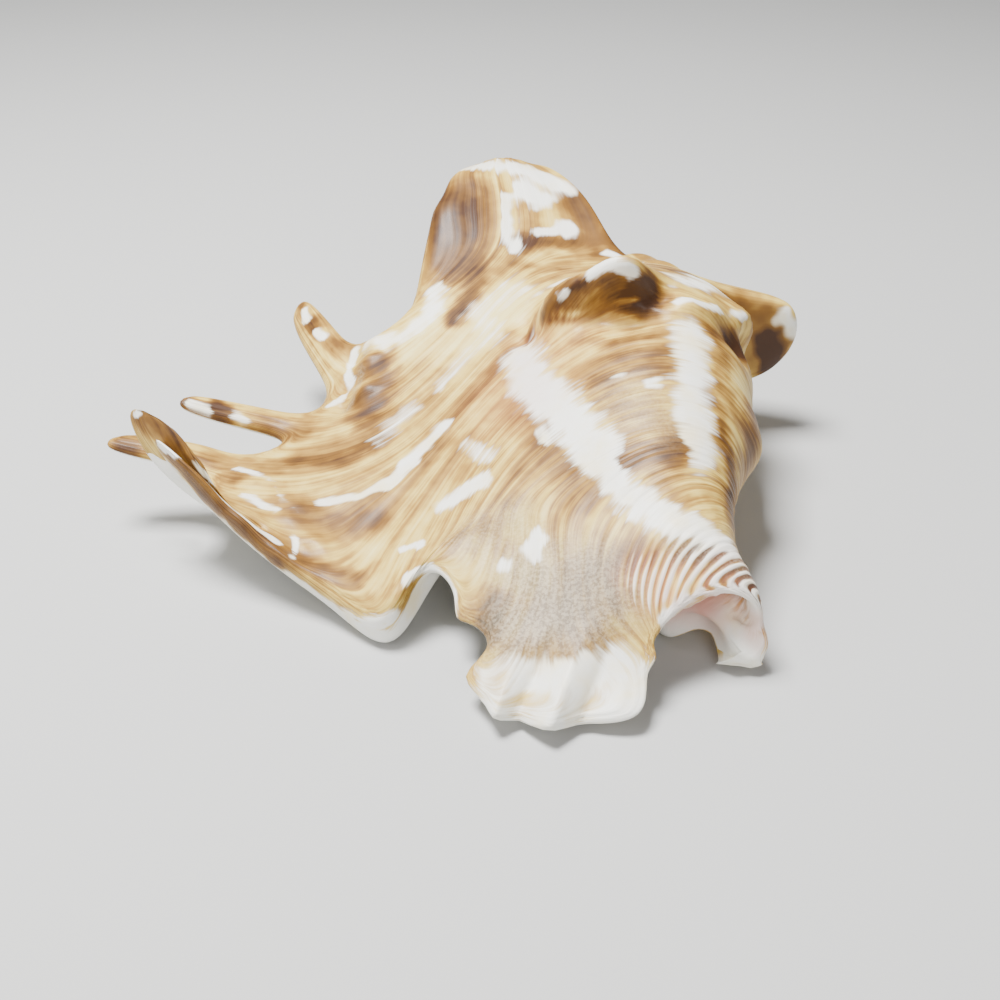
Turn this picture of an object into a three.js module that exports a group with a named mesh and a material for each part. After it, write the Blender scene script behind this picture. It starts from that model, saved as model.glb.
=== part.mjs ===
// A spider conch shell, lying on its opening as it does on a table: a last whorl with knobs on its shoulder,
// a short spire behind it, a flared outer lip drawn out into fingers, a notch, an anterior lobe and a short
// open canal beside the columella. It grew as one piece, so it is one solid.
//
// Millimetres. +Z is up and the shell rests on Z = 0. -Y is the anterior end with the canal, +Y is the
// posterior end with the spire, and -X is the side of the flared lip. The origin is the centre of the bottom
// of its box.

import * as THREE from "three";

const SHELL_COLOUR = 0xd9c3a0;

// The last whorl, cut across at each growth station from the spire forward to the canal. Each row holds
// the lip's edge, the rise behind it, its trough, the valley at the whorl's flank, the depth of the edge, of
// the rib behind it and of the wall, the coiling axis, the whorl's radius, how far the columella stands to the
// left of that axis as a share of the radius, and how hollow the whorl is.
const STATIONS = [
  [[-19, 67, 31], [-13, 73, 36], [-3, 79, 39], [10, 81, 40], 8, 9, 8, [31, 78, 22.5], 15, 0.9, 0],
  [[-22, 63, 28], [-16, 65, 33], [-7, 69, 36], [8, 73, 38], 6, 7, 5, [31, 70, 23], 17.8, 0.75, 0.5],
  [[-31, 62, 24], [-24, 58, 28], [-12, 60, 32], [6, 64, 36], 5, 6, 3, [31, 62, 23], 22, 0.7, 1],
  [[-37, 53, 18], [-28, 50, 23], [-14, 50, 28], [5, 55, 33], 5, 6, 2.6, [31, 54, 23.4], 24.9, 0.68, 1],
  [[-39, 47, 15], [-30, 43, 19], [-16, 43, 24], [3, 47, 31], 5, 6, 2.6, [31, 46, 23.4], 25.2, 0.66, 1],
  [[-43, 40, 14], [-33, 36, 16.5], [-17, 37, 21], [2, 39, 29], 5, 6, 2.6, [31, 39, 22.4], 24.2, 0.64, 1],
  [[-52, 32, 13], [-34, 29, 14.5], [-18, 30, 19], [1, 32, 28], 5, 6, 2.6, [31, 33, 21.9], 23.1, 0.62, 1],
  [[-60, 23, 14], [-37, 21, 14], [-18, 23, 17], [1, 26, 27], 5, 6, 2.6, [31, 28, 22], 21.6, 0.6, 1],
  [[-60, 15, 15.5], [-38, 14, 14], [-18, 16, 15], [1, 20, 26], 5, 6, 2.6, [31, 23, 21.8], 20.8, 0.58, 1],
  [[-43, 4, 12], [-29, 7, 9], [-17, 9, 14.5], [2, 14, 25], 6, 6, 2.6, [31, 18, 21], 19.5, 0.55, 1],
  [[-31, -8, 9.5], [-26, -4, 9], [-15, 4, 14.5], [3, 9, 24], 8, 12, 2.6, [31, 13, 20.5], 18, 0.5, 1],
  [[-22, -18, 8], [-20, -14, 11], [-12, -1, 15.5], [5, 5, 23], 9, 17, 2.6, [31, 9, 20], 16.5, 0.45, 1],
  [[-17.5, -16, 10], [-15, -11, 14], [-8, 1, 17], [7, 3, 23], 9.5, 13, 2.6, [31, 6, 19.5], 15.3, 0.47, 1],
  [[-15.5, -9, 14], [-11.5, -4, 16.5], [-4, 0, 17.8], [9, 0, 22.7], 3, 3, 2.6, [31, 3, 19.3], 14.5, 0.46, 1],
  [[-10, -8, 14.5], [-6.5, -4, 17], [0, -3, 18], [11, -3, 22], 3, 3, 2.6, [31, 0, 18.8], 13.5, 0.45, 1],
  [[-7, -17, 10.5], [-3, -13, 14], [4, -10, 17.5], [14, -8, 21.5], 3, 3, 2.6, [31.5, -4, 17], 12.8, 0.5, 1],
  [[-2, -23, 8], [3, -19, 12], [8, -16, 16], [17, -13, 20], 3, 3, 2.6, [32, -8, 15.8], 11.5, 0.55, 1],
  [[-9, -38, 4], [1, -29, 8], [10, -23, 12], [20, -18, 18], 3, 3, 2.4, [33.5, -13, 14.8], 10.7, 0.55, 1],
  [[9, -42, 4], [12, -35, 7], [16, -29, 11], [23, -23, 16], 3, 3, 2.2, [36.5, -17, 12.4], 10.2, 0.35, 1],
  [[26, -38, 4], [26, -33, 7], [26, -29, 10], [27, -26, 14], 3, 3, 2.2, [39, -21.5, 10], 8.6, -0.35, 1],
];

// Fingers drawn out of the lip's edge between two stations: where the middle of each further section lies,
// and its size as a share of the edge it grows from.
const FINGERS = [
  {
    station: 2,
    steps: [
      { to: [-38, 65, 20.5], size: 0.95 },
      { to: [-43, 76, 21], size: 0.9 },
      { to: [-48, 88, 21.5], size: 0.75 },
    ],
  },
  {
    station: 4,
    steps: [
      { to: [-49, 44, 14], size: 1 },
      { to: [-58, 44.5, 16], size: 0.9 },
      { to: [-68, 43, 20], size: 0.75 },
    ],
  },
  {
    station: 6,
    steps: [
      { to: [-61, 29, 14.5], size: 1 },
      { to: [-70, 29, 16], size: 0.9 },
      { to: [-79, 29, 18.5], size: 0.75 },
    ],
  },
  {
    station: 8,
    steps: [
      { to: [-60.5, 13, 19], size: 1.15 },
      { to: [-63, 15.5, 24], size: 0.95 },
      { to: [-66, 19, 29.5], size: 0.85 },
    ],
  },
  {
    station: 9,
    steps: [
      { to: [-47, 3, 13], size: 1.1 },
      { to: [-55.5, 8.5, 18.5], size: 1 },
      { to: [-65, 14, 27], size: 0.65 },
    ],
  },
];

// The spire and the hindmost finger grow from the last whorl's back, and a blunt knob from its right shoulder.
const SPIRE = [
  { to: [34, 82, 20], size: 0.8 },
  { to: [33, 90, 21], size: 1 },
  { to: [32, 93, 21], size: 0.75 },
  { to: [31, 100, 22], size: 0.95 },
  { to: [30, 108, 22], size: 0.4 },
];
const BACK_FINGER = [
  { to: [2, 90, 42], size: 0.88 },
  { to: [0, 101, 46.5], size: 0.73 },
  { to: [0.5, 110, 47.5], size: 0.56 },
];
const SIDE_KNOB = [
  { to: [53, 70, 23], size: 0.85 },
  { to: [59, 69, 24.5], size: 0.75 },
  { to: [64.5, 68, 25.5], size: 0.75 },
];

// Swellings and hollows of the skin: the places pulled, how far the pull reaches, and how the skin moves there.
const SWELLINGS = [
  { at: [[20, 42, 47]], reach: 15, move: [0, -1, 5] },
  { at: [[13, 41, 45], [18, 40, 50], [25, 41, 49]], reach: 8, move: [-1, -2, 3] },
  { at: [[7, 42, 38]], reach: 6, move: [1, 0, -2.5] },
  { at: [[36, 44, 42], [42, 47, 39], [48, 49, 36]], reach: 7, move: [0.5, 0, 2] },
  { at: [[54, 45, 27]], reach: 8, move: [-3.5, 0, 0] },
  { at: [[57, 62, 14]], reach: 9, move: [3, 0, 0] },
  { at: [[27, -8, 5], [31, -10, 4]], reach: 9, move: [0, -1, -4.5] },
  { at: [[54, 20, 17]], reach: 9, move: [4.5, 0, -1] },
];

// Angles about the axis of the outer skin, from the left over the crest to the belly, and of the roof inside.
const OUTSIDE = [130, 88, 45, 0, -45, -95];
const ROOF = [30, 95, 140];
const COLUMELLA_FOOT = -0.97; // heights about the axis, as shares of the radius
const COLUMELLA_SIDE = -0.3;
const INNER_FLOOR = 0.05;
const HOLLOW_WIDTH = 0.9;
const SHUT = [240, 220, 200, 182, 165, 150];
const HALF = 10; // points of a ring on its outside, and as many inside
const RING = 2 * HALF;
const LIP_EDGE = RING - 1; // the strip between the last point of a ring and its first
const LIP_STRIPS = [0, 1, 2, 3, 4]; // between two points of a ring: the lip and the crest of the whorl
const WHORL_STRIPS = [5, 6, 7, 8]; // from the crest over the shoulder to the belly
const SHOULDER_STRIPS = [6, 7];

// One closed ring: the outside from the lip's edge over the whorl to its belly, then back along the inside,
// where the columella's foot, its side and the inner floor come before the roof.
// Where the whorl is not hollow, its inside lies flat against its left flank.
function ring([lip, rise, trough, valley, edge, rib, wall, axis, radius, core, hollow]) {
  const centre = new THREE.Vector3(...axis);
  const across = (x, z) => new THREE.Vector3(x * radius, 0, z * radius).add(centre);
  const round = (degrees, share) => {
    const angle = THREE.MathUtils.degToRad(degrees);
    return across(Math.cos(angle) * share, Math.sin(angle) * share);
  };
  const below = ([x, y, z], depth) => new THREE.Vector3(x, y, z - depth);
  const roof = ROOF.map((angle) => round(angle, 1 - wall / radius));
  const floor = across((HOLLOW_WIDTH - core) / 2, INNER_FLOOR);
  const columella = [across(-core, COLUMELLA_FOOT), across(-core, COLUMELLA_SIDE)];
  const open = [...columella, floor, ...roof];
  return [
    below(lip, 0), below(rise, 0), below(trough, 0), below(valley, 0),
    ...OUTSIDE.map((angle) => round(angle, 1)),
    ...SHUT.map((angle, i) => round(angle, 1).lerp(open[i], hollow)),
    below(valley, wall), below(trough, wall), below(rise, rib), below(lip, edge),
  ];
}

// The cage is a list of points and a list of four-sided faces. The stations' rings are joined one to the next,
// and each end is closed by strips between the outside and the inside.
function cageOfWhorl() {
  const points = STATIONS.flatMap(ring);
  const faces = [];
  for (let start = RING; start < points.length; start += RING) {
    for (let k = 0; k < RING; k++) {
      const next = (k + 1) % RING;
      faces.push([start + k, start + next, start - RING + next, start - RING + k]);
    }
  }
  const last = points.length - RING;
  for (let k = 0; k < HALF - 1; k++) {
    faces.push([k, k + 1, RING - 2 - k, RING - 1 - k]);
    faces.push([last + RING - 1 - k, last + RING - 2 - k, last + k + 1, last + k]);
  }
  return { points, faces };
}

const average = (points) => points.reduce((sum, p) => sum.add(p), new THREE.Vector3()).divideScalar(points.length);

// Draws a patch of faces out of the cage in steps: each step moves the patch to a new middle and scales it
// about that, and the points on the patch's border are copied so that walls join it to the rest.
function drawOut(cage, patch, steps) {
  for (const { to, size } of steps) {
    const directed = patch.flatMap((face) => face.map((a, k) => [a, face[(k + 1) % 4]]));
    const own = new Set(directed.map(([a, b]) => `${a}>${b}`));
    const border = directed.filter(([a, b]) => !own.has(`${b}>${a}`));
    const used = [...new Set(patch.flat())];
    const middle = average(used.map((i) => cage.points[i]));
    const copy = new Map(used.map((i) => [i, i]));
    for (const [i] of border) copy.set(i, cage.points.push(cage.points[i].clone()) - 1);
    for (const i of copy.values()) cage.points[i].sub(middle).multiplyScalar(size).add(new THREE.Vector3(...to));
    for (const [a, b] of border) cage.faces.push([a, b, copy.get(b), copy.get(a)]);
    for (const face of patch) face.splice(0, 4, ...face.map((i) => copy.get(i)));
  }
}

// The face of the cage that has all four of these points.
const faceWith = (cage, ...corners) => cage.faces.find((face) => corners.every((i) => face.includes(i)));

// One round of Catmull-Clark smoothing: every face becomes four, and the cage's corners become a rounded skin.
function smooth({ points, faces }) {
  const middles = faces.map((face) => average(face.map((i) => points[i])));
  const edges = new Map();
  const key = (a, b) => (a < b ? `${a}-${b}` : `${b}-${a}`);
  const around = points.map(() => ({ middles: [], edges: new Set() }));
  faces.forEach((face, f) => {
    face.forEach((a, k) => {
      const b = face[(k + 1) % 4];
      if (!edges.has(key(a, b))) edges.set(key(a, b), { ends: [a, b], middles: [] });
      edges.get(key(a, b)).middles.push(middles[f]);
      around[a].middles.push(middles[f]);
      around[a].edges.add(key(a, b));
      around[b].edges.add(key(a, b));
    });
  });
  const half = (edge) => average(edge.ends.map((i) => points[i]));
  const corners = points.map((point, i) => {
    const n = around[i].middles.length;
    const sum = average(around[i].middles);
    sum.addScaledVector(average([...around[i].edges].map((e) => half(edges.get(e)))), 2);
    return sum.addScaledVector(point, n - 3).divideScalar(n);
  });
  const smoothed = [...corners, ...middles];
  for (const edge of edges.values()) {
    edge.index = smoothed.length;
    smoothed.push(average([...edge.ends.map((i) => points[i]), ...edge.middles]));
  }
  const quads = faces.flatMap((face, f) => face.map((a, k) => {
    const before = edges.get(key(face[(k + 3) % 4], a)).index;
    const after = edges.get(key(a, face[(k + 1) % 4])).index;
    return [a, after, points.length + f, before];
  }));
  return { points: smoothed, faces: quads };
}

// Pulls the skin at a few places: the points nearest to them move all the way, and the points around follow
// less and less, out to the reach.
function pull(points, { at, reach, move }) {
  const held = at.map((place) => {
    const target = new THREE.Vector3(...place);
    return points.reduce((best, p) => (p.distanceTo(target) < best.distanceTo(target) ? p : best)).clone();
  });
  for (const point of points) {
    const near = 1 - Math.min(...held.map((place) => place.distanceTo(point))) / reach;
    if (near > 0) point.addScaledVector(new THREE.Vector3(...move), near * near * (3 - 2 * near));
  }
}

const cage = cageOfWhorl();
const corner = (station, k) => station * RING + k % RING;
const strip = (i, k) => faceWith(cage, corner(i, k), corner(i, k + 1), corner(i + 1, k), corner(i + 1, k + 1));
for (const { station, steps } of FINGERS) drawOut(cage, [strip(station, LIP_EDGE)], steps);
const backStrip = (k) => faceWith(cage, k, k + 1, RING - 2 - k, RING - 1 - k);
drawOut(cage, WHORL_STRIPS.map(backStrip), SPIRE);
drawOut(cage, LIP_STRIPS.map(backStrip), BACK_FINGER);
drawOut(cage, SHOULDER_STRIPS.flatMap((k) => [strip(0, k), strip(1, k)]), SIDE_KNOB);

const skin = smooth(cage);
for (const swelling of SWELLINGS) pull(skin.points, swelling);
for (const point of skin.points) point.z = Math.max(point.z, 0);

const geometry = new THREE.BufferGeometry();
const coordinates = skin.points.flatMap((point) => point.toArray());
geometry.setAttribute("position", new THREE.Float32BufferAttribute(coordinates, 3));
geometry.setIndex(skin.faces.flatMap(([a, b, c, d]) => [a, b, c, a, c, d]));
geometry.computeBoundingBox();
const middle = geometry.boundingBox.getCenter(new THREE.Vector3());
geometry.translate(-middle.x, -middle.y, 0);
geometry.computeVertexNormals();

const material = new THREE.MeshStandardMaterial({ color: SHELL_COLOUR, roughness: 0.35, metalness: 0 });
const shell = new THREE.Mesh(geometry, material);
shell.name = "shell";
const part = new THREE.Group();
part.add(shell);

export default part;
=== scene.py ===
import math

import bmesh
import bpy
import numpy as np
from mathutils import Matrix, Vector, noise


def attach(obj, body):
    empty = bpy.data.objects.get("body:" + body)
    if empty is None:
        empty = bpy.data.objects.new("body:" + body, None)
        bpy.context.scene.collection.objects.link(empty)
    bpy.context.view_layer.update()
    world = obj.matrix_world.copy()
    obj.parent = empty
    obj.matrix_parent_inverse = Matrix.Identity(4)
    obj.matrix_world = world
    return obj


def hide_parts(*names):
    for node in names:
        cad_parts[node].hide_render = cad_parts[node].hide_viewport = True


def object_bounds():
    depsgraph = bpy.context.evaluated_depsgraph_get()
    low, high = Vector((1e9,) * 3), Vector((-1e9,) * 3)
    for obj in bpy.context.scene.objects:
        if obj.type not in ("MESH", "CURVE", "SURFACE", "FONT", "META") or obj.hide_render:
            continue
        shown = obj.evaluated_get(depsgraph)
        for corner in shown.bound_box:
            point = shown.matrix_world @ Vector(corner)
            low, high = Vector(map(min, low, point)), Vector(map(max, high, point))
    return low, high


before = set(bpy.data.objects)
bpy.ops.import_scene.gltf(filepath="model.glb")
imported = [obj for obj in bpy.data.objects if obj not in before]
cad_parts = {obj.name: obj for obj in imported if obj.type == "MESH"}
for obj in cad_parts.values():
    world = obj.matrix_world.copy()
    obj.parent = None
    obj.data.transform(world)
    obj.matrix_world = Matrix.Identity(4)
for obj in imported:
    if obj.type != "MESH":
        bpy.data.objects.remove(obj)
cad_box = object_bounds()

# The surface that the shell lies on: a plain pale floor, far larger than the shell, with no edge in view.
bpy.ops.object.select_all(action="DESELECT")
bpy.ops.mesh.primitive_plane_add(size=6.0)
floor = bpy.context.object
floor.name = "floor"
paint = bpy.data.materials.new("pale_floor")
paint.use_nodes = True
matt = paint.node_tree.nodes["Principled BSDF"]
matt.inputs["Base Color"].default_value = (0.5, 0.5, 0.49, 1)
matt.inputs["Roughness"].default_value = 0.85
floor.data.materials.append(paint)

# Soft studio light: one lamp overhead, weak fills from the left and the front, and a dim white room.
MM = 0.001
low, high = (Vector(corner) for corner in cad_box)
middle = Vector(((low.x + high.x) / 2, (low.y + high.y) / 2, 0))
room = bpy.data.worlds.new("room")
room.use_nodes = True
room.node_tree.nodes["Background"].inputs["Color"].default_value = (1, 1, 1, 1)
room.node_tree.nodes["Background"].inputs["Strength"].default_value = 0.2
bpy.context.scene.world = room
for name, place, size, power in (
    ("lamp_top", (-0.15, 0.02, 0.6), 0.22, 13.0),
    ("lamp_left", (-0.55, -0.35, 0.3), 0.5, 1.6),
    ("lamp_front", (0.2, -0.7, 0.4), 0.4, 2.5),
):
    bpy.ops.object.light_add(type="AREA", location=middle + Vector(place))
    lamp = bpy.context.object
    lamp.name = name
    lamp.data.size = size
    lamp.data.energy = power
    lamp.rotation_euler = (-Vector(place)).to_track_quat("-Z", "Y").to_euler()

# The camera looks along +Y at the anterior end, from a third of the way up to overhead.
VIEW_TILT = math.radians(32)
VIEW_REACH = 252 * MM
aim = Vector((6.8, -35.3, 22)) * MM
bpy.ops.object.camera_add()
camera = bpy.context.object
camera.data.lens = 50
camera.data.sensor_width = 36
camera.data.clip_start = 0.01
camera.location = aim + VIEW_REACH * Vector((0, -math.cos(VIEW_TILT), math.sin(VIEW_TILT)))
camera.rotation_euler = (aim - camera.location).to_track_quat("-Z", "Y").to_euler()
bpy.context.scene.camera = camera

# The last whorl of the shell, a wall of lime that the animal laid down round its own body, from the spire
# forward to the canal. It is drawn as one tube of rings. Each ring goes from the edge of the flared lip
# over the whorl's back to its belly, and back along the inside. A station has four points of the lip, the
# depth of its edge, of the rib behind it and of the wall, the coiling axis, the whorl's radius, how far
# left the columella stands, and how hollow the whorl is.
LAST_WHORL = (
    ((-19, 67, 31), (-13, 73, 36), (-3, 79, 39), (10, 81, 40), 8, 9, 8, (31, 78, 22.5), 15, 0.9, 0),
    ((-22, 63, 28), (-16, 65, 33), (-7, 69, 36), (8, 73, 38), 6, 7, 5, (31, 70, 23), 17.8, 0.75, 0.5),
    ((-31, 62, 24), (-24, 58, 28), (-12, 60, 32), (6, 64, 36), 5, 6, 3, (31, 62, 23), 22, 0.7, 1),
    ((-37, 53, 18), (-28, 50, 23), (-14, 50, 28), (5, 55, 33), 5, 6, 2.6, (31, 54, 23.4), 24.9, 0.68, 1),
    ((-39, 47, 15), (-30, 43, 19), (-16, 43, 24), (3, 47, 31), 5, 6, 2.6, (31, 46, 23.4), 25.2, 0.66, 1),
    ((-43, 40, 14), (-33, 36, 16.5), (-17, 37, 21), (2, 39, 29), 5, 6, 2.6, (31, 39, 22.4), 24.2, 0.64, 1),
    ((-52, 32, 13), (-34, 29, 14.5), (-18, 30, 19), (1, 32, 28), 5, 6, 2.6, (31, 33, 21.9), 23.1, 0.62, 1),
    ((-60, 23, 14), (-37, 21, 14), (-18, 23, 17), (1, 26, 27), 5, 6, 2.6, (31, 28, 22), 21.6, 0.6, 1),
    ((-60, 15, 15.5), (-38, 14, 14), (-18, 16, 15), (1, 20, 26), 5, 6, 2.6, (31, 23, 21.8), 20.8, 0.58, 1),
    ((-43, 4, 12), (-29, 7, 9), (-17, 9, 14.5), (2, 14, 25), 6, 6, 2.6, (31, 18, 21), 19.5, 0.55, 1),
    ((-31, -8, 9.5), (-26, -4, 9), (-15, 4, 14.5), (3, 9, 24), 8, 12, 2.6, (31, 13, 20.5), 18, 0.5, 1),
    ((-22, -18, 8), (-20, -14, 11), (-12, -1, 15.5), (5, 5, 23), 9, 17, 2.6, (31, 9, 20), 16.5, 0.45, 1),
    ((-17.5, -16, 10), (-15, -11, 14), (-8, 1, 17), (7, 3, 23), 9.5, 13, 2.6, (31, 6, 19.5), 15.3, 0.47, 1),
    ((-15.5, -9, 14), (-11.5, -4, 16.5), (-4, 0, 17.8), (9, 0, 22.7), 3, 3, 2.6,
     (31, 3, 19.3), 14.5, 0.46, 1),
    ((-10, -8, 14.5), (-6.5, -4, 17), (0, -3, 18), (11, -3, 22), 3, 3, 2.6, (31, 0, 18.8), 13.5, 0.45, 1),
    ((-7, -17, 10.5), (-3, -13, 14), (4, -10, 17.5), (14, -8, 21.5), 3, 3, 2.6,
     (31.5, -4, 17), 12.8, 0.5, 1),
    ((-2, -23, 8), (3, -19, 12), (8, -16, 16), (17, -13, 20), 3, 3, 2.6, (32, -8, 15.8), 11.5, 0.55, 1),
    ((-9, -38, 4), (1, -29, 8), (10, -23, 12), (20, -18, 18), 3, 3, 2.4, (33.5, -13, 14.8), 10.7, 0.55, 1),
    ((9, -42, 4), (12, -35, 7), (16, -29, 11), (23, -23, 16), 3, 3, 2.2, (36.5, -17, 12.4), 10.2, 0.35, 1),
    ((26, -38, 4), (26, -33, 7), (26, -29, 10), (27, -26, 14), 3, 3, 2.2, (39, -21.5, 10), 8.6, -0.35, 1),
)
RING = 20


def ring_of(station):
    *lip, edge, rib, wall, axis, radius, core, hollow = station
    lip = [Vector(point) for point in lip]

    def round_axis(angle, share=1.0):
        turn = math.radians(angle)
        return Vector(axis) + Vector((math.cos(turn), 0, math.sin(turn))) * share * radius

    def across(x, z):
        return Vector(axis) + Vector((x, 0, z)) * radius

    outside = [round_axis(angle) for angle in (130, 88, 45, 0, -45, -95)]
    open_inside = [across(-core, -0.97), across(-core, -0.3), across((0.9 - core) / 2, 0.05)]
    open_inside += [round_axis(angle, 1 - wall / radius) for angle in (30, 95, 140)]
    shut_inside = [round_axis(angle) for angle in (240, 220, 200, 182, 165, 150)]
    inside = [shut.lerp(opened, hollow) for shut, opened in zip(shut_inside, open_inside)]
    under = [point - Vector((0, 0, depth)) for point, depth in zip(reversed(lip), (wall, wall, rib, edge))]
    return lip + outside + inside + under


def cord_of(number, k):
    """Which spiral cord runs through a place. Over the lip they lean forward, at the canal they wind."""
    lean = (-4.5, -4.5, -3.5, -0.5)[k] if k < 4 else 0
    wind = (0, 0, 0, 0, 0.5, 1.2, 2, 2.6, 3, 3.2)[k] if k < 10 else 0
    return number + lean + wind * min(max((number - 11) / 4, 0), 1)


bpy.ops.object.select_all(action="DESELECT")
bpy.ops.mesh.primitive_circle_add(vertices=RING, radius=20, fill_type="NOTHING")
shell = bpy.context.object
shell.name = "conch_shell"
bpy.ops.object.mode_set(mode="EDIT")
bpy.ops.mesh.select_mode(type="VERT")
bpy.ops.mesh.select_all(action="SELECT")
mesh = bmesh.from_edit_mesh(shell.data)
for name in ("around", "along", "cord", "inner"):
    mesh.verts.layers.float.new(name)
around, cord, inner = (mesh.verts.layers.float[name] for name in ("around", "cord", "inner"))
mesh.verts.ensure_lookup_table()
for k, (vert, place) in enumerate(zip(mesh.verts, ring_of(LAST_WHORL[0]))):
    vert.co = place
    vert[around] = k
    vert[cord] = cord_of(0, k)
    vert[inner] = k >= RING / 2
bmesh.update_edit_mesh(shell.data)
for number, station in enumerate(LAST_WHORL[1:], 1):
    bpy.ops.mesh.extrude_region_move()
    mesh = bmesh.from_edit_mesh(shell.data)
    around, along, cord = (mesh.verts.layers.float[name] for name in ("around", "along", "cord"))
    places = ring_of(station)
    for vert in mesh.verts:
        if vert.select:
            vert.co = places[round(vert[around])]
            vert[along] = number
            vert[cord] = cord_of(number, round(vert[around]))
    bmesh.update_edit_mesh(shell.data)
END = len(LAST_WHORL) - 1


def pick(kind, wanted):
    """Selects only the faces, or the points, whose (station, place in the ring) pairs are all wanted."""
    bpy.ops.mesh.select_mode(type=kind)
    bpy.ops.mesh.select_all(action="DESELECT")
    cage = bmesh.from_edit_mesh(shell.data)
    around, along = (cage.verts.layers.float[name] for name in ("around", "along"))
    for part in cage.faces if kind == "FACE" else cage.verts:
        corners = part.verts if kind == "FACE" else [part]
        if all((round(v[along]), round(v[around])) in wanted for v in corners):
            part.select_set(True)
    bmesh.update_edit_mesh(shell.data)


for end in (0, END):
    for k in range(RING // 2 - 1):
        pick("VERT", {(end, place) for place in (k, k + 1, RING - 2 - k, RING - 1 - k)})
        bpy.ops.mesh.edge_face_add()
bpy.ops.mesh.select_all(action="SELECT")
bpy.ops.mesh.normals_make_consistent(inside=False)


def draw_out(steps, sideways=0, back=0):
    """Draws the selected patch out in steps, each to a new middle and size, and renumbers its points."""
    for to, size in steps:
        cage = bmesh.from_edit_mesh(shell.data)
        picked = [v for v in cage.verts if v.select]
        centre = sum((v.co for v in picked), Vector()) / len(picked)
        bpy.ops.mesh.extrude_region_move(TRANSFORM_OT_translate={"value": Vector(to) - centre})
        bpy.ops.transform.resize(value=(size, size, size), center_override=Vector(to))
        cage = bmesh.from_edit_mesh(shell.data)
        around, along = (cage.verts.layers.float[name] for name in ("around", "along"))
        for vert in cage.verts:
            if vert.select:
                vert[around] += sideways if vert[around] > RING / 2 else -sideways
                vert[along] -= back
        bmesh.update_edit_mesh(shell.data)


# The five fingers along the lip's edge, which the animal grew last and then filled in. Each is drawn out
# of the lip between two stations, to a narrow tip. The fourth one's tip is broken off short.
FINGERS = {
    2: (((-38, 65, 20.5), 0.95), ((-43, 76, 21), 0.9), ((-48, 88, 21.5), 0.75)),
    4: (((-49, 44, 14), 1), ((-58, 44.5, 16), 0.9), ((-68, 43, 20), 0.75)),
    6: (((-61, 29, 14.5), 1), ((-70, 29, 16), 0.9), ((-79, 29, 18.5), 0.75)),
    8: (((-60.5, 13, 19), 1.15), ((-63, 15.5, 24), 0.95), ((-66, 19, 29.5), 0.85)),
    9: (((-47, 3, 13), 1.1), ((-55.5, 8.5, 18.5), 1), ((-65, 14, 27), 0.65)),
}
for first, steps in FINGERS.items():
    pick("FACE", {(station, k) for station in (first, first + 1) for k in (0, RING - 1)})
    draw_out(steps, sideways=1)

# The short spire of earlier whorls, the broad hindmost finger beside it, and the blunt knob on the right
# of the shoulder, all grown out of the same wall.
SPIRE = (
    ((34, 82, 20), 0.8),
    ((33, 90, 21), 1),
    ((32, 93, 21), 0.75),
    ((31, 100, 22), 0.95),
    ((30, 108, 22), 0.4),
)
BACK_FINGER = (((2, 90, 42), 0.88), ((0, 101, 46.5), 0.73), ((0.5, 110, 47.5), 0.56))
SIDE_KNOB = (((53, 70, 23), 0.85), ((59, 69, 24.5), 0.75), ((64.5, 68, 25.5), 0.75))
pick("FACE", {(0, k) for k in range(5, 15)})
draw_out(SPIRE, back=1)
pick("FACE", {(0, k) for k in (*range(0, 6), *range(14, 20))})
draw_out(BACK_FINGER, back=1)
pick("FACE", {(station, k) for station in (0, 1, 2) for k in (6, 7, 8)})
draw_out(SIDE_KNOB, back=1)
bpy.ops.object.mode_set(mode="OBJECT")


def smooth_skin():
    """Rounds the skin once, and keeps the result."""
    bpy.ops.object.mode_set(mode="OBJECT")
    rounding = shell.modifiers.new("rounding", "SUBSURF")
    rounding.levels = rounding.render_levels = 1
    bpy.context.view_layer.objects.active = shell
    bpy.ops.object.modifier_apply(modifier=rounding.name)
    bpy.ops.object.mode_set(mode="EDIT")
    bpy.ops.mesh.select_mode(type="VERT")


def pull(places, reach, push):
    """Pulls the skin's points nearest to some places, and the skin around them follows out to the reach."""
    bpy.ops.mesh.select_all(action="DESELECT")
    skin = bmesh.from_edit_mesh(shell.data)
    for place in places:
        min(skin.verts, key=lambda vert: (vert.co - Vector(place)).length_squared).select_set(True)
    bmesh.update_edit_mesh(shell.data)
    bpy.ops.transform.translate(
        value=push, use_proportional_edit=True, proportional_edit_falloff="SMOOTH", proportional_size=reach
    )


# The knobs and bumps of the shoulder, and the hollows between them, raised as the shell grew in steps.
smooth_skin()
SWELLINGS = (
    (((20, 42, 47),), 15, (0, -1, 5)),
    (((13, 41, 45), (18, 40, 50), (25, 41, 49),), 8, (-1, -2, 3)),
    (((7, 42, 38),), 6, (1, 0, -2.5)),
    (((36, 44, 42), (42, 47, 39), (48, 49, 36),), 7, (0.5, 0, 2)),
    (((54, 45, 27),), 8, (-3.5, 0, 0)),
    (((57, 62, 14),), 9, (3, 0, 0)),
    (((27, -8, 5), (31, -10, 4),), 9, (0, -1, -4.5)),
    (((54, 20, 17),), 9, (4.5, 0, -1)),
)
for places, reach, push in SWELLINGS:
    pull(places, reach, push)

# The shell is worn flat where it lies, and the middle of its box is the origin.
bpy.ops.object.mode_set(mode="OBJECT")
for vert in shell.data.vertices:
    vert.co.z = max(vert.co.z, 0)
least, most = ([end(v.co[axis] for v in shell.data.vertices) for axis in (0, 1)] for end in (min, max))
centre = Vector(((least[0] + most[0]) / 2, (least[1] + most[1]) / 2, 0))

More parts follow.
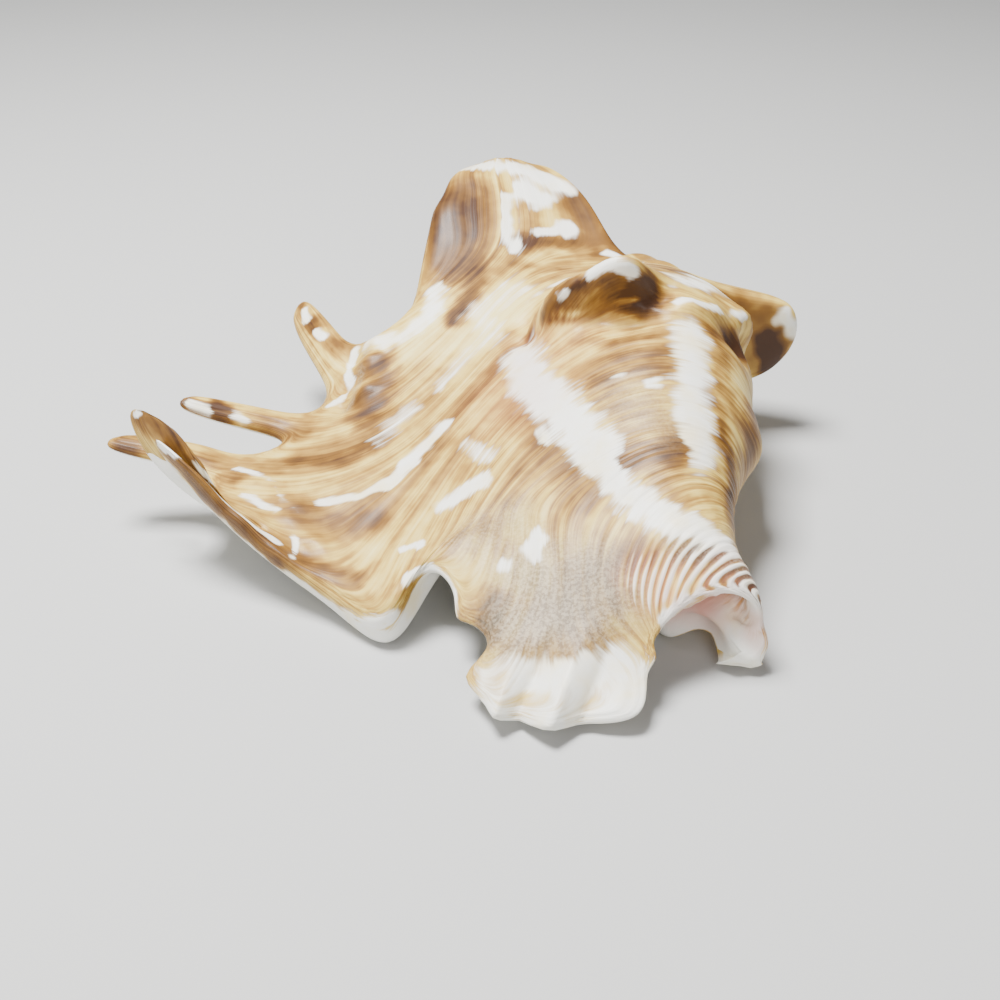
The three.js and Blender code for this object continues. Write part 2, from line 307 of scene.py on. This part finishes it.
# The finer shape: the hood of the big knob with its steep left side and the hollow on its right, the
# ridge from it to the corner of the shoulder, the bulge and the rim of the hindmost fingers, the channel
# along the front finger, the tooth and the foot of the notch, and the spatula of the columella. Each row
# is a line of places, how far round them the skin follows, and the push.
smooth_skin()
for places, reach, push in (
    (((13, 43, 46), (20, 40, 52), (26, 40, 50)), 7, (-0.5, -4, 2.5)),
    (((10, 47, 39), (12, 44, 42)), 4.5, (-3.5, -2, 1.5)),
    (((11, 46, 42), (13, 44, 46)), 5, (-2, 0, 2.5)),
    (((19, 38, 50), (23, 37, 52), (26, 37, 51)), 6, (0, -0.5, 3)),
    (((10, 41, 43), (13, 39, 47)), 3.5, (-1, -1.5, 1.5)),
    (((6, 46, 34), (7, 50, 35)), 5, (1, 0, -3.5)),
    (((17, 34, 43), (23, 32, 44), (28, 32, 44)), 5.5, (0, 3, -3.5)),
    (((31, 38, 46),), 5, (0, 2, -4)),
    (((30, 37, 46),), 3.5, (0, 1.5, -2)),
    (((35, 37, 44), (40, 38, 43), (45, 41, 41), (50, 45, 37)), 4, (0.3, -1.5, 2.2)),
    (((46, 37, 37), (48, 38, 35)), 4, (-0.5, 2, -3)),
    (((50, 46, 37), (52, 49, 33)), 5, (3, -1.5, 1)),
    (((52, 47, 27), (51, 45, 30)), 5, (-3, 1.5, 0)),
    (((-9, 88, 44), (-6, 98, 46)), 9, (-2, 0, 1.2)),
    (((-51, 3, 19), (-44, 0, 14), (-38, -1, 11)), 4.5, (0, 0.5, -2.2)),
    (((-54, 10, 22), (-47, 8, 14), (-40, 7, 11), (-34, 3, 10)), 3, (0, 0, 1.8)),
    (((-52, 23, 14), (-46, 19, 14), (-41, 13, 13), (-38, 10, 12)), 4, (0, 0, 1.6)),
    (((-31, 57, 22), (-31, 50, 20), (-32, 44, 18)), 3.5, (0, 0, -3)),
    (((-28, 59, 25), (-27, 53, 23), (-28, 46, 20)), 3.5, (-0.5, 0, 2.6)),
    (((-22, 48, 22), (-24, 41, 19)), 5, (0, 0, -1.2)),
    (((-8, -17, 10),), 3.5, (-1.5, -2, -1)),
    (((-4, -22, 8), (-3, -25, 7)), 4, (2.2, 0, 0.5)),
    (((-6, -30, 6),), 3.5, (-2.2, 0, 0.5)),
    (((-6, -35, 5),), 3, (1.6, 0.5, 0)),
    (((26, -29, 9),), 2.5, (1.5, 0, 0)),
    (((33, -17, 5), (36, -19, 4)), 5, (3, 4, 1.5)),
    (((45, -21, 6), (44, -21, 3)), 5, (3, -1, -0.5)),
    (((41, -21, 4), (44, -21, 4)), 3, (0, -2, 0.5)),
):
    pull(places, reach, push)
smooth_skin()
bpy.ops.mesh.select_mode(type="FACE")
bpy.ops.mesh.select_all(action="DESELECT")
skin = bmesh.from_edit_mesh(shell.data)
around, inner = (skin.verts.layers.float[name] for name in ("around", "inner"))
for face in skin.faces:
    face.select_set(all(v[inner] < 0.3 and v[around] < 7.8 for v in face.verts))
bmesh.update_edit_mesh(shell.data)
bpy.ops.mesh.subdivide(number_cuts=1)
bpy.ops.object.mode_set(mode="OBJECT")

# Fine relief of the skin: low ribs along the cords, growth lines round the hood, a chipped rim at the
# canal, and a lobe crinkled in folds that run out to its edge. The outer faces are finer, to hold it.
verts = shell.data.vertices
count = len(verts)
place = np.empty((count, 3))
out = np.empty((count, 3))
verts.foreach_get("co", place.ravel())
verts.foreach_get("normal", out.ravel())
edges = np.empty((len(shell.data.edges), 2), int)
shell.data.edges.foreach_get("vertices", edges.ravel())
links_of = np.bincount(edges.ravel(), minlength=count)


def layer(name, rounds=0):
    """One of the float layers, evened out over the neighbouring points so many times."""
    values = np.empty(count)
    shell.data.attributes[name].data.foreach_get("value", values)
    for _ in range(rounds):
        there = np.bincount(edges[:, 0], values[edges[:, 1]], count)
        back = np.bincount(edges[:, 1], values[edges[:, 0]], count)
        values = (there + back) / links_of
    return values


def ramp(values, start, end):
    share = np.clip((values - start) / (end - start), 0, 1)
    return share * share * (3 - 2 * share)


def near(places, reach, spots=None):
    """How close each point of the skin is to a line through some places: 1 on it, 0 beyond the reach."""
    spots = place if spots is None else spots
    points = np.array(places, float)
    gap = np.linalg.norm(spots - points[0], axis=1)
    for start, end in zip(points[:-1], points[1:]):
        run = end - start
        share = np.clip((spots - start) @ run / (run @ run), 0, 1)[:, None]
        gap = np.minimum(gap, np.linalg.norm(spots - start - share * run, axis=1))
    return ramp(gap, reach, 0)


RIB_HEIGHT = 0.18
RING_HEIGHT = 0.13
RING_STEP = 1.9
FOLD_RISE = 1.1
FOLD_REACH = 2.2
cord = layer("cord", 40)
around, inner = layer("around", 10), layer("inner")
shell.data.attributes["cord"].data.foreach_set("value", cord.astype(np.float32))
shell.data.attributes["around"].data.foreach_set("value", around.astype(np.float32))
outside = 1 - ramp(inner, 0.2, 0.6)
ribs = np.array([
    noise.noise((c * 2.4, a * 0.2, 0)) + 0.5 * noise.noise((c * 6, a * 0.4, 5))
    for c, a in zip(cord, around)
])
hood = near([(13, 41, 43), (19, 35, 46), (26, 34, 46), (31, 36, 45)], 7)
rings = np.sin((place[:, 2] - 0.4 * place[:, 1]) * math.tau / RING_STEP)
place += (outside * (RIB_HEIGHT * ribs * (1 - hood) + RING_HEIGHT * rings * hood))[:, None] * out
lobe = ramp(place[:, 1], -23, -38) * ramp(place[:, 0], 31, 26)
folds_across = (-8, -4, -1.5, 3, 8.5, 14, 23, 27)
fold_heights = (0, 0.6, 1, -1, 1.1, -0.9, 0.7, 0)
fold = np.interp(place[:, 0] - 0.45 * (place[:, 1] + 39), folds_across, fold_heights)
rim = near([(26, -27, 13), (29, -25, 15), (34, -22, 16), (39, -20, 14), (43, -20, 11)], 3)
rim *= ramp(inner, 0.3, 0.8)
chips = np.array([noise.noise((x * 0.9, z * 0.9, 3)) for x, _, z in place])
place += (rim * (1.3 + 2 * chips))[:, None] * np.array((0, 0.4, -1))
place[:, 2] += lobe * FOLD_RISE * fold
place[:, 1] -= lobe * FOLD_REACH * fold
place[:, 2] = np.maximum(place[:, 2], 0)

# The markings, brushed on in strokes: each coat has the strength of its ground and then its strokes, and
# a stroke is a strength, a width and a line of places, with a wavering edge. Brown is the pigment, and also
# painted shade on the big knob's front face and in the hollows beside it, under the shoulder's corner and
# under the side knob. White is the glaze and the bare bands, and also painted highlights along the top of
# the big knob, the top edge of the hindmost finger and a ridge of the wing. Rose is the glow of the inside,
# grey the worn neck and also a painted shadow in the groove beside the curled rim, and rope the strong
# striae that wind round the canal.
WAVER = 1.5
WAVER_FULL = 5
APART = (Vector((0, 0, 0)), Vector((0, 0, 50)), Vector((0, 0, 100)))
waver = np.array([[noise.noise(Vector(p) * 0.35 + shift) for shift in APART] for p in place]) * WAVER
MARKINGS = {
    "brown": (0.44, (
        (0.15, 14, ((-24, 56, 27), (-8, 56, 31), (2, 60, 34))),
        (0.66, 5, ((3, 47, 33), (-4, 37, 27), (-11, 26, 21), (-14, 20, 18))),
        (0.66, 8, ((6, 24, 30), (8, 14, 29), (11, 4, 26), (12, -3, 24))),
        (0.45, 12, ((20, 14, 35), (31, 11, 36), (31, 5, 34), (22, 8, 32))),
        # Painted shade, over some brown pigment: the front face of the big knob's hood, the line along its
        # steep left edge and the hollow on its right are darkened.
        (0.85, 5, ((11, 39, 42), (16, 37, 44), (22, 36, 46), (28, 37, 46))),
        (1.05, 2.6, ((9, 42, 39), (11, 40, 43), (13, 39, 46), (15, 38, 48), (18, 38, 48), (23, 36, 50))),
        (1.1, 4, ((27, 37, 49), (30, 38, 47), (31, 38, 45), (29, 37, 44))),
        (0.95, 1.4, ((10, 40, 40), (15, 37, 41), (21, 36, 43), (28, 37, 43))),
        (0.3, 1.2, ((11, 39, 41), (15, 37, 42), (21, 36, 44), (27, 37, 45))),
        (0.8, 3.5, ((14, 33, 40), (20, 29, 41), (28, 29, 42), (33, 30, 43))),
        (0.62, 4, ((14, 26, 36), (20, 25, 39), (28, 23, 41), (32, 24, 41))),
        (0.75, 3, ((18, 20, 37), (24, 19, 39), (31, 19, 39))),
        (0.9, 5.5, ((22, 2, 29), (26, 1, 31), (32, 1, 32))),
        # Painted shade: the groove at the left foot of the big knob is darkened.
        (1.1, 3, ((7, 46, 33),)),
        (0.85, 4, ((38, 17, 38), (42, 13, 33), (42, 8, 30), (43, 3, 24), (42, -5, 22))),
        (0.7, 5, ((44, 28, 37), (43, 21, 36), (45, 15, 30))),
        (0.75, 7, ((49, 22, 28), (49, 10, 22), (46, -4, 18))),
        (0.72, 6, ((38, 50, 45), (46, 60, 38), (52, 63, 33), (57, 63, 30))),
        # Painted shade: the underside of the side knob is darkened.
        (1.2, 4.5, ((59, 63, 24), (60, 64, 20), (60, 65, 16))),
        (0.75, 4, ((42, 34, 39), (45, 36, 37))),
        # Painted shade: the hollow under the corner of the shoulder is darkened.
        (1.2, 4.5, ((47, 39, 35), (49, 41, 32), (51, 45, 29))),
        (1.02, 12, ((-10, 92, 45), (-10, 84, 42), (-9, 76, 38))),
        (0.95, 4.5, ((-5, 72, 37), (-6, 65, 34), (-10, 58, 32))),
        (0.98, 11, ((20, 93, 45), (23, 87, 42), (27, 81, 38))),
        (0.9, 4.5, ((3, 79, 40), (11, 81, 40), (17, 82, 40))),
        (0.7, 3, ((-1, 76, 39), (6, 72, 39), (14, 70, 39))),
        (0.95, 7, ((-25, 51, 23), (-25, 45, 21), (-27, 39, 18))),
        (0.78, 5, ((-40, 27, 14), (-30, 26, 15), (-24, 30, 18))),
        (0.78, 6, ((-38, 9, 12), (-30, 6, 12), (-24, 8, 12))),
        (0.72, 6, ((-49, 42, 14), (-40, 39, 14))),
        (0.9, 2.5, ((-70, 43, 20), (-58, 42, 17), (-57, 43, 17))),
        (0.95, 3.5, ((-59, 44, 18), (-57, 41, 16))),
        (0.95, 3.5, ((-42, 73, 23), (-43, 75, 23))),
        (0.7, 4, ((-37, 66, 23), (-34, 62, 23))),
        (0.8, 2, ((-46, 84, 23), (-48, 86, 23))),
        (0.85, 5.5, ((-68, 19, 29), (-61, 15, 28), (-57, 17, 22), (-52, 20, 15))),
        (0.75, 5, ((-57, 28, 15), (-50, 26, 14), (-45, 24, 14))),
        (1, 5, ((-75, 26, 18), (-68, 22, 19))),
        (0.82, 5, ((-61, 12, 25), (-58, 9, 23), (-54, 7, 19), (-50, 4, 17), (-46, 2, 15), (-40, -1, 11))),
        (0.85, 3.5, ((-36, -2, 11), (-31, -5, 10), (-26, -8, 11))),
        (0.68, 9, ((17, -21, 15), (22, -16, 19), (10, -20, 14))),
        (0.25, 5, ((26, -20, 18), (32, -19, 19))),
        (0.8, 5, ((-1, -18, 12), (-2, -22, 9))),
        (0.8, 5.5, ((35, -16, 21), (40, -17, 20), (44, -19, 15))),
        (0.62, 3, ((21, -28, 12), (14, -30, 10))),
        (0.6, 3.5, ((2, -28, 8), (4, -31, 7))),
    )),
    "white": (0, (
        (-0.7, 11, ((-10, 98, 47), (-13, 90, 43), (-13, 82, 40), (-13, 76, 38))),
        (-0.6, 6, ((-62, 13, 26), (-58, 9, 23), (-54, 7, 19), (-50, 4, 17), (-46, 2, 15), (-40, -1, 11))),
        (1, 8.5, ((4, 40, 33), (6, 30, 31), (10, 20, 32), (14, 12, 31), (18, 5, 30))),
        (1, 6, ((18, 5, 30), (22, -4, 27), (28, -10, 25), (35, -13, 24), (41, -16, 20))),
        (0.9, 8, ((37, 30, 42), (37, 20, 39), (36, 11, 35), (36, 2, 31))),
        (-0.5, 5.5, ((25, 2, 30), (28, 1, 31), (31, 1, 32))),
        (1, 3.5, ((-18, 21, 17), (-14, 24, 20), (-11, 28, 22))),
        (1, 3, ((-21, 16, 16), (-17, 20, 18))),
        (1, 4, ((-10, 6, 17), (-6, 8, 19), (-3, 8, 21))),
        (1, 4.2, ((6, -10, 18), (7, -8, 19))),
        (0.8, 3, ((1, -12, 16),)),
        (0.95, 2.2, ((-34, 13, 13), (-27, 14, 14), (-22, 16, 16))),
        (0.95, 2, ((-18, -2, 13), (-14, -3, 15))),
        (1, 3, ((-19, -15, 7), (-25, -14, 4), (-31, -9, 4), (-40, -4, 6), (-48, 1, 10), (-56, 7, 15))),
        (1, 5, ((-22, -17, 4), (-34, -12, 2), (-42, -5, 6), (-30, -16, 5))),
        (1.2, 2, ((-64, 13, 26), (-61, 11, 26), (-59, 11, 24), (-55, 9.5, 21),
                  (-52, 7, 19), (-48, 4.5, 17), (-41, 1, 12))),
        (1.2, 2.4, ((-64, 13, 26), (-62, 13, 26))),
        (1, 1.8, ((-39, 6, 11), (-38, 2, 11), (-38, -2, 11))),
        # Painted highlight: a white line along the crest of the raised ridge on the wing.
        (0.8, 2, ((-52, 24, 15), (-46, 20, 14), (-41, 13, 13), (-38, 9, 12))),
        (0.9, 2.5, ((-49, 14, 14), (-43, 10, 13))),
        (1, 2, ((-17, -13, 12), (-16, -11, 13), (-12, -9, 13), (-8, -13, 11), (-8, -18, 9))),
        (1, 10, ((-6, -38, 3), (3, -42, 3), (12, -42, 3), (20, -39, 4), (25, -34, 6))),
        (0.9, 7, ((0, -31, 6), (10, -33, 7), (19, -31, 9))),
        (0.45, 3.5, ((2, -28, 8), (0, -32, 7))),
        (0.5, 2.5, ((-5, -34, 5), (-4, -36, 4))),
        # Painted highlight: white along the top edge of the hindmost finger.
        (1, 6, ((-9, 101, 47), (-2, 103, 50), (6, 102, 50), (16, 97, 47))),
        (1, 6, ((6, 94, 48), (10, 92, 46))),
        (1, 3.5, ((2, 91, 47), (2, 84, 43), (3, 78, 40))),
        (1, 2.4, ((9, 83, 41), (16, 85, 41))),
        (1, 3.6, ((15, 86, 42), (16, 84, 41))),
        (1, 2.5, ((24, 79, 38), (31, 74, 37))),
        (0, 5, ((9, 42, 38), (11, 39, 43), (16, 37, 45), (26, 37, 46), (31, 38, 45))),
        # Painted highlight: white along the top of the big knob's hood.
        (1, 3.2, ((18, 38, 51), (20, 38, 52), (22, 37, 53), (26, 36, 51))),
        (0.9, 1.8, ((12, 39, 45), (13, 38, 46))),
        (0.9, 3, ((5, 49, 36), (5, 55, 37), (9, 60, 39), (14, 62, 40))),
        (1, 6, ((34, 45, 44), (42, 50, 42), (52, 57, 36))),
        (1, 2.4, ((35, 37, 45), (40, 38, 44), (45, 41, 42), (50, 45, 38))),
        (1, 4.5, ((66, 66, 26), (64, 64, 27), (62, 64, 29))),
        (1, 5, ((54, 58, 22), (55, 52, 18))),
        (0.75, 6, ((52, 36, 22), (52, 26, 18))),
        (0.6, 8, ((4, 64, 36), (-4, 58, 33), (-2, 50, 32))),
        (0.85, 5, ((-14, 68, 34), (-14, 62, 32), (-18, 58, 29))),
        (0.75, 5, ((-27, 59, 25), (-22, 57, 27))),
        (0.6, 5, ((-6, 48, 29), (-12, 40, 25))),
        (0.6, 5, ((-18, 36, 21), (-24, 30, 18))),
        (0.6, 4, ((-6, 20, 22), (-2, 14, 23))),
        (0.8, 2.2, ((8, 14, 28), (9, 11, 28))),
        (0.8, 2.5, ((22, 19, 38), (23, 19, 38))),
        (0.8, 2.5, ((28, 16, 38), (29, 16, 38))),
        (1, 2.4, ((-55, 42, 17), (-53, 41, 16))),
        (1, 2.4, ((-64, 42, 19), (-61, 42, 18))),
        (1, 2.6, ((-39, 68, 23), (-41, 71, 23))),
        (1, 2.6, ((-44, 77, 23), (-45, 81, 23))),
        (1, 2, ((-31, 60, 23), (-32, 57, 21), (-32, 51, 20), (-33, 47, 18), (-36, 46, 17))),
        (1, 1.8, ((-67, 21, 29), (-70, 20, 29))),
        (1, 6, ((45, -22, 4), (40, -22, 3), (38, -20, 7))),
        (0.42, 8, ((27, -20, 17), (34, -18, 19), (42, -19, 16), (46, -19, 10))),
        (1.1, 2.2, ((28, -25, 13.5), (31, -23, 16), (36, -22, 17),
                    (40, -21, 17), (43, -21, 15), (45, -21, 10))),
    )),
    "rose": (0, (
        (1, 12, ((28, -16, 12), (33, -14, 12), (36, -15, 12))),
        (0.55, 4, ((44, -21, 10), (45, -21, 7))),
        (0.5, 22, ((10, 30, 20), (16, 40, 24))),
    )),
    "grey": (0, (
        # Painted shadow: grey in the groove beside the curled rim between the first two fingers.
        (0.6, 1.8, ((-28, 58, 25), (-29, 52, 22), (-30, 46, 19), (-32, 43, 17))),
        (1, 14, ((6, -15, 16), (12, -22, 13), (3, -23, 11))),
        (0.9, 10, ((16, -16, 18), (20, -22, 15))),
        (0.6, 9, ((-4, -5, 17), (2, -3, 19))),
        (0.7, 7, ((32, -14, 21), (42, -15, 19))),
        (0.35, 10, ((24, 14, 36), (30, 8, 34))),
    )),
    "rope": (0, (
        (1, 9, ((26, -19, 18), (34, -18, 20), (43, -19, 16), (47, -18, 9))),
    )),
}
for name, (ground, strokes) in MARKINGS.items():
    coat = ramp(inner, 0.5, 0.75) if name == "white" else np.full(count, float(ground))
    for strength, width, line in strokes:
        coat += (strength - coat) * near(line, width, place + waver * min(width / WAVER_FULL, 1))
    if name == "rope":
        coat *= outside  # the striae stop at the canal's rim
    mark = shell.data.attributes.new(name, "FLOAT", "POINT")
    mark.data.foreach_set("value", coat.astype(np.float32))

# From millimetres on the growth plan to metres in the frame.
place = (place - np.array(centre)) * MM
verts.foreach_set("co", place.ravel())
shell.data.update()
bpy.ops.object.shade_smooth()

# Polished shell: a cream ground, brown pigment laid down in streaks along the spiral cords, and porcelain
# white where it has none, all under a thin natural gloss. The brown also lays painted shade in a few
# hollows, the white painted highlights on a few crests, and the grey a painted shadow in one groove.
glaze = bpy.data.materials.new("polished_shell")
glaze.use_nodes = True
nodes, links = glaze.node_tree.nodes, glaze.node_tree.links
gloss = nodes["Principled BSDF"]


def read(name):
    made = nodes.new("ShaderNodeAttribute")
    made.attribute_name = name
    return made.outputs["Fac"]


def reckon(operation, *values):
    made = nodes.new("ShaderNodeMath")
    made.operation = operation
    for socket, value in zip(made.inputs, values):
        if isinstance(value, (int, float)):
            socket.default_value = value
        else:
            links.new(value, socket)
    return made.outputs[0]


def add_up(first, *shares):
    """One field plus a share of each of the others."""
    total = first
    for field, share in shares:
        total = reckon("ADD", total, reckon("MULTIPLY", field, share))
    return total


def cloud(where, scale, detail):
    made = nodes.new("ShaderNodeTexNoise")
    made.inputs["Scale"].default_value = scale
    made.inputs["Detail"].default_value = detail
    made.inputs["Roughness"].default_value = 0.6
    links.new(where, made.inputs["Vector"])
    return reckon("SUBTRACT", made.outputs[0], 0.5)


def streaks(across, lengthways, offset, detail):
    """Noise drawn out along the spiral cords: so many streaks per cord, so much change along one."""
    field = nodes.new("ShaderNodeCombineXYZ")
    links.new(reckon("MULTIPLY", read("cord"), across), field.inputs[0])
    links.new(reckon("MULTIPLY", read("around"), lengthways), field.inputs[1])
    field.inputs[2].default_value = offset
    return cloud(field.outputs[0], 1, detail)


def step_up(value, start, end):
    made = nodes.new("ShaderNodeMapRange")
    made.interpolation_type = "SMOOTHSTEP"
    made.inputs["From Min"].default_value = start
    made.inputs["From Max"].default_value = end
    links.new(value, made.inputs["Value"])
    return made.outputs["Result"]


def mix(share, first, second):
    made = nodes.new("ShaderNodeMix")
    made.data_type = "RGBA"
    links.new(share, made.inputs["Factor"])
    for socket, value in ((made.inputs[6], first), (made.inputs[7], second)):
        if isinstance(value, tuple):
            socket.default_value = (*value, 1)
        else:
            links.new(value, socket)
    return made.outputs[2]


spot = nodes.new("ShaderNodeTexCoord").outputs["Object"]
fine = streaks(9, 0.9, 0, 3)
broad = streaks(2.6, 0.6, 3, 2)
flames = streaks(0.8, 0.9, 7, 2)
patches = cloud(spot, 90, 3)
speckle = cloud(spot, 1700, 2)
STRIAE_PER_CORD = 3.2
turns = add_up(read("cord"), (broad, 0.25))
winding = reckon("SINE", reckon("MULTIPLY", turns, math.tau * STRIAE_PER_CORD))
roped = reckon("MULTIPLY", winding, read("rope"))
# The brown coat carries the pigment and also painted shade in a few hollows.
pigment_and_shade = add_up(read("brown"), (fine, 0.5), (broad, 0.8), (flames, 0.45), (patches, 0.75), (roped, -0.34))
tone = nodes.new("ShaderNodeValToRGB")
links.new(pigment_and_shade, tone.inputs["Fac"])
TINTS = (
    (0.08, (0.82, 0.68, 0.28)),
    (0.34, (0.68, 0.48, 0.12)),
    (0.5, (0.42, 0.24, 0.05)),
    (0.72, (0.19, 0.088, 0.018)),
    (1.0, (0.06, 0.026, 0.012)),
)
for number, (amount, tint) in enumerate(TINTS):
    stop = tone.color_ramp.elements[number] if number < 2 else tone.color_ramp.elements.new(amount)
    stop.position = amount
    stop.color = (*tint, 1)
# The grey coat's grain: worn grey on the neck, and painted shadow in the groove beside the curled rim.
WEAR_AND_SHADE_DARK = (0.17, 0.135, 0.085)
WEAR_AND_SHADE_PALE = (0.38, 0.32, 0.22)
PORCELAIN = (0.9, 0.89, 0.82)
PORCELAIN_STAINED = (0.9, 0.8, 0.54)
ROSE = (0.62, 0.2, 0.13)
grain = mix(step_up(speckle, -0.12, 0.12), WEAR_AND_SHADE_DARK, WEAR_AND_SHADE_PALE)
worn_and_shaded = mix(reckon("MULTIPLY", read("grey"), 0.78), tone.outputs["Color"], grain)
# The white coat carries the glaze and bare bands and also painted highlights on a few crests.
bare_and_highlit = add_up(read("white"), (fine, 0.8), (broad, 1.1), (roped, 0.5))
porcelain = mix(step_up(patches, -0.05, 0.25), PORCELAIN, PORCELAIN_STAINED)
whitened = mix(step_up(bare_and_highlit, 0.26, 0.78), worn_and_shaded, porcelain)
coloured = mix(reckon("MULTIPLY", read("rose"), 0.85), whitened, ROSE)
links.new(coloured, gloss.inputs["Base Color"])
relief = nodes.new("ShaderNodeBump")
relief.inputs["Strength"].default_value = 0.3
relief.inputs["Distance"].default_value = 0.0005
links.new(add_up(reckon("MULTIPLY", fine, 0.8), (roped, 1.4)), relief.inputs["Height"])
links.new(relief.outputs[0], gloss.inputs["Normal"])
links.new(reckon("ADD", reckon("MULTIPLY", broad, 0.2), 0.46), gloss.inputs["Roughness"])
gloss.inputs["Coat Weight"].default_value = 0.1
gloss.inputs["Coat Roughness"].default_value = 0.22
gloss.inputs["IOR"].default_value = 1.45
gloss.inputs["Specular IOR Level"].default_value = 0.22
shell.data.materials.clear()
shell.data.materials.append(glaze)
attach(shell, "root")
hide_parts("shell")
